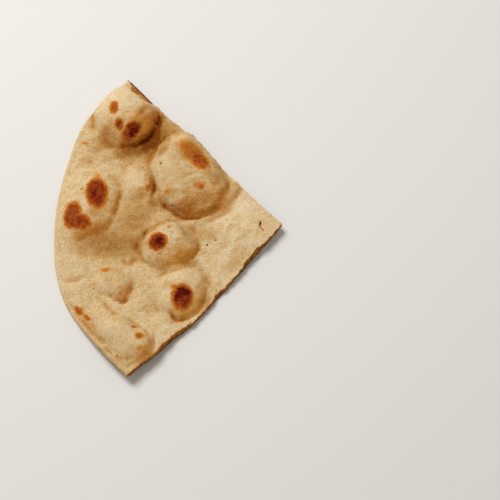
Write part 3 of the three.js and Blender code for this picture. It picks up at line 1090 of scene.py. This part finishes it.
def kept(tree, name):
    """A value that was kept for each point."""
    return add(tree, "ShaderNodeAttribute", attribute_name=name).outputs["Fac"]


def colour_steps(tree, value, steps):
    """A colour ramp from (value, colour) steps."""
    made = add(tree, "ShaderNodeValToRGB", {"Fac": value})
    stops = made.color_ramp.elements
    while len(stops) < len(steps):
        stops.new(0.5)
    for stop, (at, shade) in zip(stops, steps):
        stop.position = at
        stop.color = shade
    return made.outputs["Color"]


def new_group(name, inputs, outputs):
    """An empty node group, with its way in and its way out."""
    tree = bpy.data.node_groups.new(name, "ShaderNodeTree")
    for label, kind in inputs.items():
        tree.interface.new_socket(label, in_out="INPUT", socket_type="NodeSocket" + kind)
    for label, kind in outputs.items():
        tree.interface.new_socket(label, in_out="OUTPUT", socket_type="NodeSocket" + kind)
    return tree, tree.nodes.new("NodeGroupInput").outputs, tree.nodes.new("NodeGroupOutput")


def put_out(tree, out, **results):
    """Joins the results of a node group to its way out."""
    for name, value in results.items():
        tree.links.new(value, out.inputs[name])


def use(tree, group, inputs=None):
    """Puts a node group into a tree."""
    return add(tree, "ShaderNodeGroup", inputs, node_tree=group).outputs


def place_group(tip):
    """Where a point of the bread lies from the tip in millimetres, as it is and strayed for ragged edges."""
    tree, _, out = new_group("bread_place", {}, {"Place": "Vector", "Ragged": "Vector"})
    place = add(tree, "ShaderNodeTexCoord").outputs["Object"]
    place = shift(tree, "SCALE", shift(tree, "SUBTRACT", place, tip), 1 / MM)
    ragged = place
    for size, stray in RAGGED_WAVES:
        wave = shift(tree, "SUBTRACT", clouds(tree, place, size, RAGGED_DETAIL, "Color"), [CLOUD_MIDDLE] * 3)
        ragged = shift(tree, "ADD", ragged, shift(tree, "SCALE", wave, stray))
    put_out(tree, out, Place=place, Ragged=ragged)
    return tree


def wheat_group():
    """Wholemeal dough: how pale it is in patches, its grain, its bran flecks and its fine relief."""
    outputs = ("Tone", "Patch", "Grain", "Fleck", "Freckle", "Height")
    tree, given, out = new_group("wholemeal", {"Place": "Vector"}, dict.fromkeys(outputs, "Float"))
    place = given["Place"]
    layers = {}
    tone = 0.0
    for name, (size, detail, share) in DOUGH_CLOUDS.items():
        layers[name] = clouds(tree, place, size, detail)
        stray = calculate(tree, "SUBTRACT", layers[name], CLOUD_MIDDLE)
        tone = calculate(tree, "MULTIPLY_ADD", stray, share, tone)
    height = 0.0
    for name, share in RELIEF_SHARES.items():
        height = calculate(tree, "MULTIPLY_ADD", layers[name], share, height)
    cells = add(tree, "ShaderNodeTexVoronoi", {"Vector": place, "Scale": FLECKS_PER_MM})
    rare = add(tree, "ShaderNodeSeparateColor", {"Color": cells.outputs["Color"]}).outputs["Red"]
    size = ramp(tree, rare, FLECKS_SHOWN, FLECK_SIZES)
    fleck = calculate(tree, "LESS_THAN", cells.outputs["Distance"], size)
    freckle = ramp(tree, clouds(tree, place, FRECKLE_SIZE), FRECKLES_SHOWN)
    freckle = calculate(tree, "MULTIPLY", freckle, FRECKLE_DARK)
    patch = clouds(tree, place, PATCH_SIZE)
    put_out(tree, out, Tone=ramp(tree, tone, TONE_SPAN), Patch=patch, Grain=layers["grain"])
    put_out(tree, out, Fleck=fleck, Freckle=freckle, Height=height)
    return tree


def spot_group():
    """One round or long spot with a soft edge, laid over what other spots have given."""
    inputs = dict.fromkeys(("Ragged", "Middle", "Half"), "Vector")
    inputs.update(dict.fromkeys(("Turn", "Dark", "Soft", "Others"), "Float"))
    tree, given, out = new_group("spot", inputs, {"Mask": "Float"})
    away = shift(tree, "SUBTRACT", given["Ragged"], given["Middle"])
    turn = calculate(tree, "MULTIPLY", given["Turn"], -1.0)
    turned = {"Vector": away, "Angle": turn}
    away = add(tree, "ShaderNodeVectorRotate", turned, rotation_type="Z_AXIS").outputs[0]
    away = shift(tree, "DIVIDE", away, given["Half"])
    in_plan = shift(tree, "MULTIPLY", away, (1, 1, 0))
    far = add(tree, "ShaderNodeVectorMath", {0: in_plan}, operation="LENGTH").outputs["Value"]
    inner = calculate(tree, "SUBTRACT", 1.0, given["Soft"])
    outer = calculate(tree, "ADD", 1.0, given["Soft"])
    mask = calculate(tree, "MULTIPLY", ramp(tree, far, (outer, inner)), given["Dark"])
    put_out(tree, out, Mask=calculate(tree, "MAXIMUM", mask, given["Others"]))
    return tree


def spots(tree, group, ragged, table):
    """The darkest of all the spots of a table at each point."""
    mask = 0.0
    for middle, half, turn, dark, soft in table:
        inputs = {"Ragged": ragged, "Middle": (*middle, 0), "Half": (*half, 1), "Turn": math.radians(turn)}
        inputs.update({"Dark": dark, "Soft": soft, "Others": mask})
        mask = use(tree, group, inputs)["Mask"]
    return mask


def baking_group():
    """The colour of the skin, from its tone, how browned it is, how much painted shade it has and how
    toasted.
    """
    inputs = dict.fromkeys(("Tone", "Brown", "ShadeGold", "Toast", "Fleck"), "Float")
    tree, given, out = new_group("baking", inputs, {"Color": "Color"})
    dough = colour_steps(tree, given["Tone"], DOUGH_STEPS)
    skin = tinted(tree, 1.0, dough, colour_steps(tree, given["Brown"], BROWN_AND_SHADE_TINTS))
    skin = tinted(tree, given["ShadeGold"], skin, SHADE_GOLD_TINT)
    skin = blend(tree, calculate(tree, "MULTIPLY", given["Fleck"], BRAN_SHARE), skin, BRAN)
    toast = colour_steps(tree, given["Toast"], TOAST_STEPS)
    put_out(tree, out, Color=blend(tree, ramp(tree, given["Toast"], TOAST_COVERS), skin, toast))
    return tree


def new_material(name):
    """A material with its shader ready."""
    material = bpy.data.materials.new(name)
    material.use_nodes = True
    tree = material.node_tree
    return material, tree, tree.nodes["Principled BSDF"]


def finish_surface(tree, shader, skin, height, grain, relief):
    """Joins the colour, the sheen and the fine relief to the shader."""
    lumps = {"Height": height, "Strength": RELIEF_STRENGTH, "Distance": relief * MM}
    bump = add(tree, "ShaderNodeBump", lumps)
    tree.links.new(skin, shader.inputs["Base Color"])
    tree.links.new(ramp(tree, grain, CLOUD_SPAN, ROUGHNESS), shader.inputs["Roughness"])
    tree.links.new(bump.outputs["Normal"], shader.inputs["Normal"])
    shader.inputs["Specular IOR Level"].default_value = SHEEN


def form_colours(tree):
    """The painted shade that the form of the upper skin gets: the golden tint on flanks turned from the key
    light and in creases, a little on crowns, and brown in creases and in hollows, which is partly browning.
    """
    hollow = kept(tree, "hollow")
    # Painted shade in creases, and in hollows partly browning and partly painted shade
    crease_shade = ramp(tree, kept(tree, "crease"), CREASE_SPAN)
    shade_gold = calculate(tree, "MULTIPLY", ramp(tree, hollow, CROWN_SPAN), CROWN_GOLD)
    shade_gold = calculate(tree, "MULTIPLY_ADD", crease_shade, CREASE_SHADE_GOLD, shade_gold)
    # Painted shade on flanks that face away from the key light
    shade_gold = calculate(tree, "ADD", shade_gold, ramp(tree, kept(tree, "shade_flank"), SHADE_FLANK_SPAN), clamp=True)
    brown = calculate(tree, "MULTIPLY", ramp(tree, hollow, HOLLOW_SPAN), HOLLOW_BROWN_AND_SHADE)
    brown = calculate(tree, "MULTIPLY_ADD", crease_shade, CREASE_SHADE_BROWN, brown)
    return shade_gold, brown


def upper_skin(groups):
    """The blistered upper skin: floury dough, with painted shade on flanks and in creases and hollows,
    browned and painted with cast shadows in places, and toasted in places.
    """
    material, tree, shader = new_material("toasted_skin")
    place = use(tree, groups["place"])
    wheat = use(tree, groups["wheat"], {"Place": place["Place"]})
    shade_gold, brown = form_colours(tree)
    # Brownings, many of them painted shadows and shade
    brown = calculate(tree, "ADD", brown, spots(tree, groups["spot"], place["Ragged"], BROWNINGS_AND_SHADE))
    patches = ramp(tree, wheat["Patch"], CLOUD_SPAN, BROWN_PATCHES)
    brown = calculate(tree, "MULTIPLY", brown, patches, clamp=True)
    toast = spots(tree, groups["spot"], place["Ragged"], TOASTS)
    coarse = ramp(tree, wheat["Patch"], TOAST_PATCH_SPAN, TOAST_PATCHES)
    fine = ramp(tree, wheat["Grain"], CLOUD_SPAN, TOAST_GRAIN)
    toast = calculate(tree, "MULTIPLY", toast, calculate(tree, "ADD", coarse, fine))
    toast = calculate(tree, "MAXIMUM", toast, wheat["Freckle"], clamp=True)
    flour = spots(tree, groups["spot"], place["Ragged"], FLOURS_AND_LIGHT)
    tone = calculate(tree, "MULTIPLY_ADD", flour, FLOUR_SHARE, wheat["Tone"])
    inputs = {"Tone": tone, "Brown": brown, "ShadeGold": shade_gold, "Toast": toast, "Fleck": wheat["Fleck"]}
    skin = use(tree, groups["baking"], inputs)["Color"]
    skin = blend(tree, spots(tree, groups["spot"], place["Ragged"], HERBS), skin, HERB)
    finish_surface(tree, shader, skin, wheat["Height"], wheat["Grain"], SKIN_RELIEF)
    return material


def patchy(tree, place, size, span, ends):
    """A value that comes and goes in clouds."""
    return ramp(tree, clouds(tree, place, size), span, ends)


def underside_skin(groups):
    """The underside, which was against the hot clay: evenly browned, with scattered toasted freckles."""
    material, tree, shader = new_material("toasted_underside")
    place = use(tree, groups["place"])
    wheat = use(tree, groups["wheat"], {"Place": place["Place"]})
    toast = patchy(tree, place["Ragged"], **UNDER_TOAST)
    brown = patchy(tree, place["Place"], **UNDER_BROWN)
    inputs = {"Tone": wheat["Tone"], "Brown": brown, "ShadeGold": 0.0, "Toast": toast, "Fleck": wheat["Fleck"]}
    skin = use(tree, groups["baking"], inputs)["Color"]
    finish_surface(tree, shader, skin, wheat["Height"], wheat["Grain"], SKIN_RELIEF)
    return material


def crumb(groups):
    """The torn crumb that the cuts show, painted darker as shade where they open deeper, and darker towards
    the toasted lower skin.
    """
    material, tree, shader = new_material("cut_crumb")
    place = use(tree, groups["place"])
    wheat = use(tree, groups["wheat"], {"Place": place["Place"]})
    pores = clouds(tree, place["Place"], PORE_SIZE, PORE_DETAIL)
    sunk = kept(tree, "sunk")
    # Painted shade in the slits and pockets, darker the deeper they are sunk
    depth = calculate(tree, "MULTIPLY", ramp(tree, sunk, MOUTH_SPAN), MOUTH_SHADE_SHARE)
    depth = calculate(tree, "MAXIMUM", depth, ramp(tree, sunk, POCKET_SPAN))
    skin = tinted(tree, depth, colour_steps(tree, pores, CRUMB_STEPS), POCKET_SHADE_TINT)
    skin = tinted(tree, ramp(tree, kept(tree, "low"), LOW_SPAN), skin, LOW_TINT)
    finish_surface(tree, shader, skin, pores, wheat["Grain"], CRUMB_RELIEF)
    return material


def paint_bread(piece, tip):
    """Gives the upper skin, the underside and the cut walls their materials."""
    groups = {"place": place_group(tip), "wheat": wheat_group()}
    groups.update({"spot": spot_group(), "baking": baking_group()})
    for material in (upper_skin(groups), underside_skin(groups), crumb(groups)):
        piece.data.materials.append(material)
    under, cut = 1, 2
    sides = ("wall", "upper_edge", "lower_edge", "rim_ends")
    on_cuts = {v.index for name in sides for v in group_members(piece, name)}
    for face in piece.data.polygons:
        if all(v in on_cuts for v in face.vertices):
            face.material_index = cut
        elif face.normal.z < FACING_DOWN:
            face.material_index = under


def tip_of_solid():
    """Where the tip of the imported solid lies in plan."""
    return max(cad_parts[NODE].data.vertices, key=lambda v: v.co.x).co.xy.to_3d()


def settle(piece, tip):
    """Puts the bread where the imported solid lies, with its place in its mesh, and smooths its shading."""
    piece.location = tip
    bpy.ops.object.select_all(action="DESELECT")
    piece.select_set(True)
    bpy.context.view_layer.objects.active = piece
    bpy.ops.object.transform_apply(location=True, rotation=False, scale=False)
    bpy.ops.object.shade_smooth_by_angle(angle=math.radians(SMOOTH_ANGLE))


def floor():
    """A plain pale floor."""
    bpy.ops.object.select_all(action="DESELECT")
    bpy.ops.mesh.primitive_plane_add(size=FLOOR_SIZE)
    ground = bpy.context.object
    ground.name = "floor"
    paint, _, shader = new_material("pale_floor")
    shader.inputs["Base Color"].default_value = FLOOR_COLOUR
    shader.inputs["Roughness"].default_value = FLOOR_ROUGHNESS
    ground.data.materials.append(paint)


def camera(tip):
    """The camera at the photograph's viewing angle."""
    aim = tip + mm(*AIM_FROM_TIP, 0)
    tilt = math.radians(CAMERA_ELEVATION)
    lens = bpy.data.cameras.new("camera")
    lens.lens = CAMERA_LENS
    lens.sensor_width = CAMERA_SENSOR
    view = bpy.data.objects.new("camera", lens)
    view.location = aim + mm(0, -math.cos(tilt), math.sin(tilt)) * CAMERA_DISTANCE
    view.rotation_euler = (math.pi / 2 - tilt, 0, 0)
    bpy.context.scene.collection.objects.link(view)
    bpy.context.scene.camera = view


def lights():
    """A soft square key from behind on the left, and pale light all round."""
    lamp = bpy.data.lights.new("key", "AREA")
    lamp.size = KEY_SIZE
    lamp.energy = KEY_POWER
    key = bpy.data.objects.new("key", lamp)
    key.location = KEY_PLACE
    key.rotation_euler = (-Vector(KEY_PLACE)).to_track_quat("-Z", "Y").to_euler()
    bpy.context.scene.collection.objects.link(key)
    world = bpy.data.worlds.new("studio")
    world.use_nodes = True
    world.node_tree.nodes["Background"].inputs["Color"].default_value = STUDIO_COLOUR
    world.node_tree.nodes["Background"].inputs["Strength"].default_value = STUDIO_STRENGTH
    bpy.context.scene.world = world
    bpy.context.scene.view_settings.view_transform = "Standard"


tip = tip_of_solid()
roti = bread()
paint_bread(roti, tip)
settle(roti, tip)
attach(roti, "root")
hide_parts(NODE)
floor()
camera(tip)
lights()
